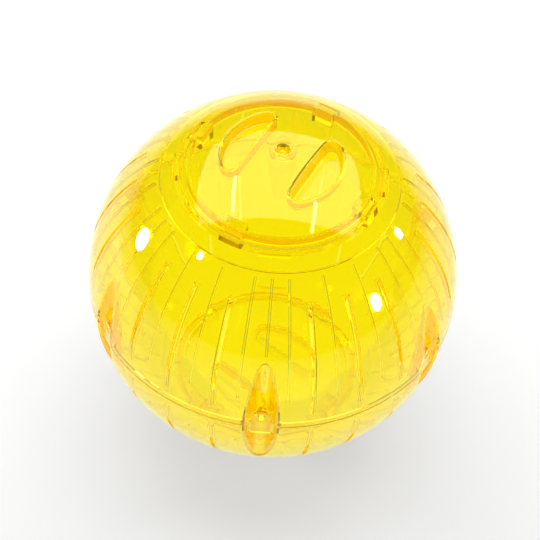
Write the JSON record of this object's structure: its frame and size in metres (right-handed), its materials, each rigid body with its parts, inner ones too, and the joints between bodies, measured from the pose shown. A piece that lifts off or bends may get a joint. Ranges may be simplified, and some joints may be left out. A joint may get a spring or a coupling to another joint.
{
  "type": "hamster ball",
  "caption": "Clear yellow exercise ball for a small pet: vented half shells that snap together at the seam, with a domed twist-lock door at each pole.",
  "frame": {"origin": "centre of the ball, on the seam", "axes": "+Z along the door axis, out through the upper door; -Y towards the front clip groove; the seam lies in the XY plane"},
  "size_m": [0.25, 0.249, 0.2496],
  "materials": {
    "shell_plastic": "polished clear yellow polystyrene",
    "door_plastic": "polished clear yellow polystyrene",
    "button_plastic": "polished clear yellow polystyrene"
  },
  "bodies": {
    "ball": {"upper_half": "shell_plastic", "lower_half": "shell_plastic"},
    "upper_door_button": {"upper_door_button": "button_plastic"},
    "upper_door": {"upper_door": "door_plastic"},
    "lower_door": {"lower_door": "door_plastic", "lower_door_button": "button_plastic"}
  },
  "joints": [
    {"name": "upper_door_lift", "type": "slide", "parent": "ball", "child": "upper_door_button", "axis": [0, 0, 1], "range_m": [0, 0.09]},
    {"name": "upper_door_turn", "type": "hinge", "parent": "upper_door_button", "child": "upper_door", "pos_m": [0, 0, 0.107], "axis": [0, 0, 1], "range_deg": [-26, 0]},
    {"name": "lower_door_turn", "type": "hinge", "parent": "ball", "child": "lower_door", "pos_m": [0, 0, -0.107], "axis": [0, 0, -1], "range_deg": [0, 26]}
  ]
}
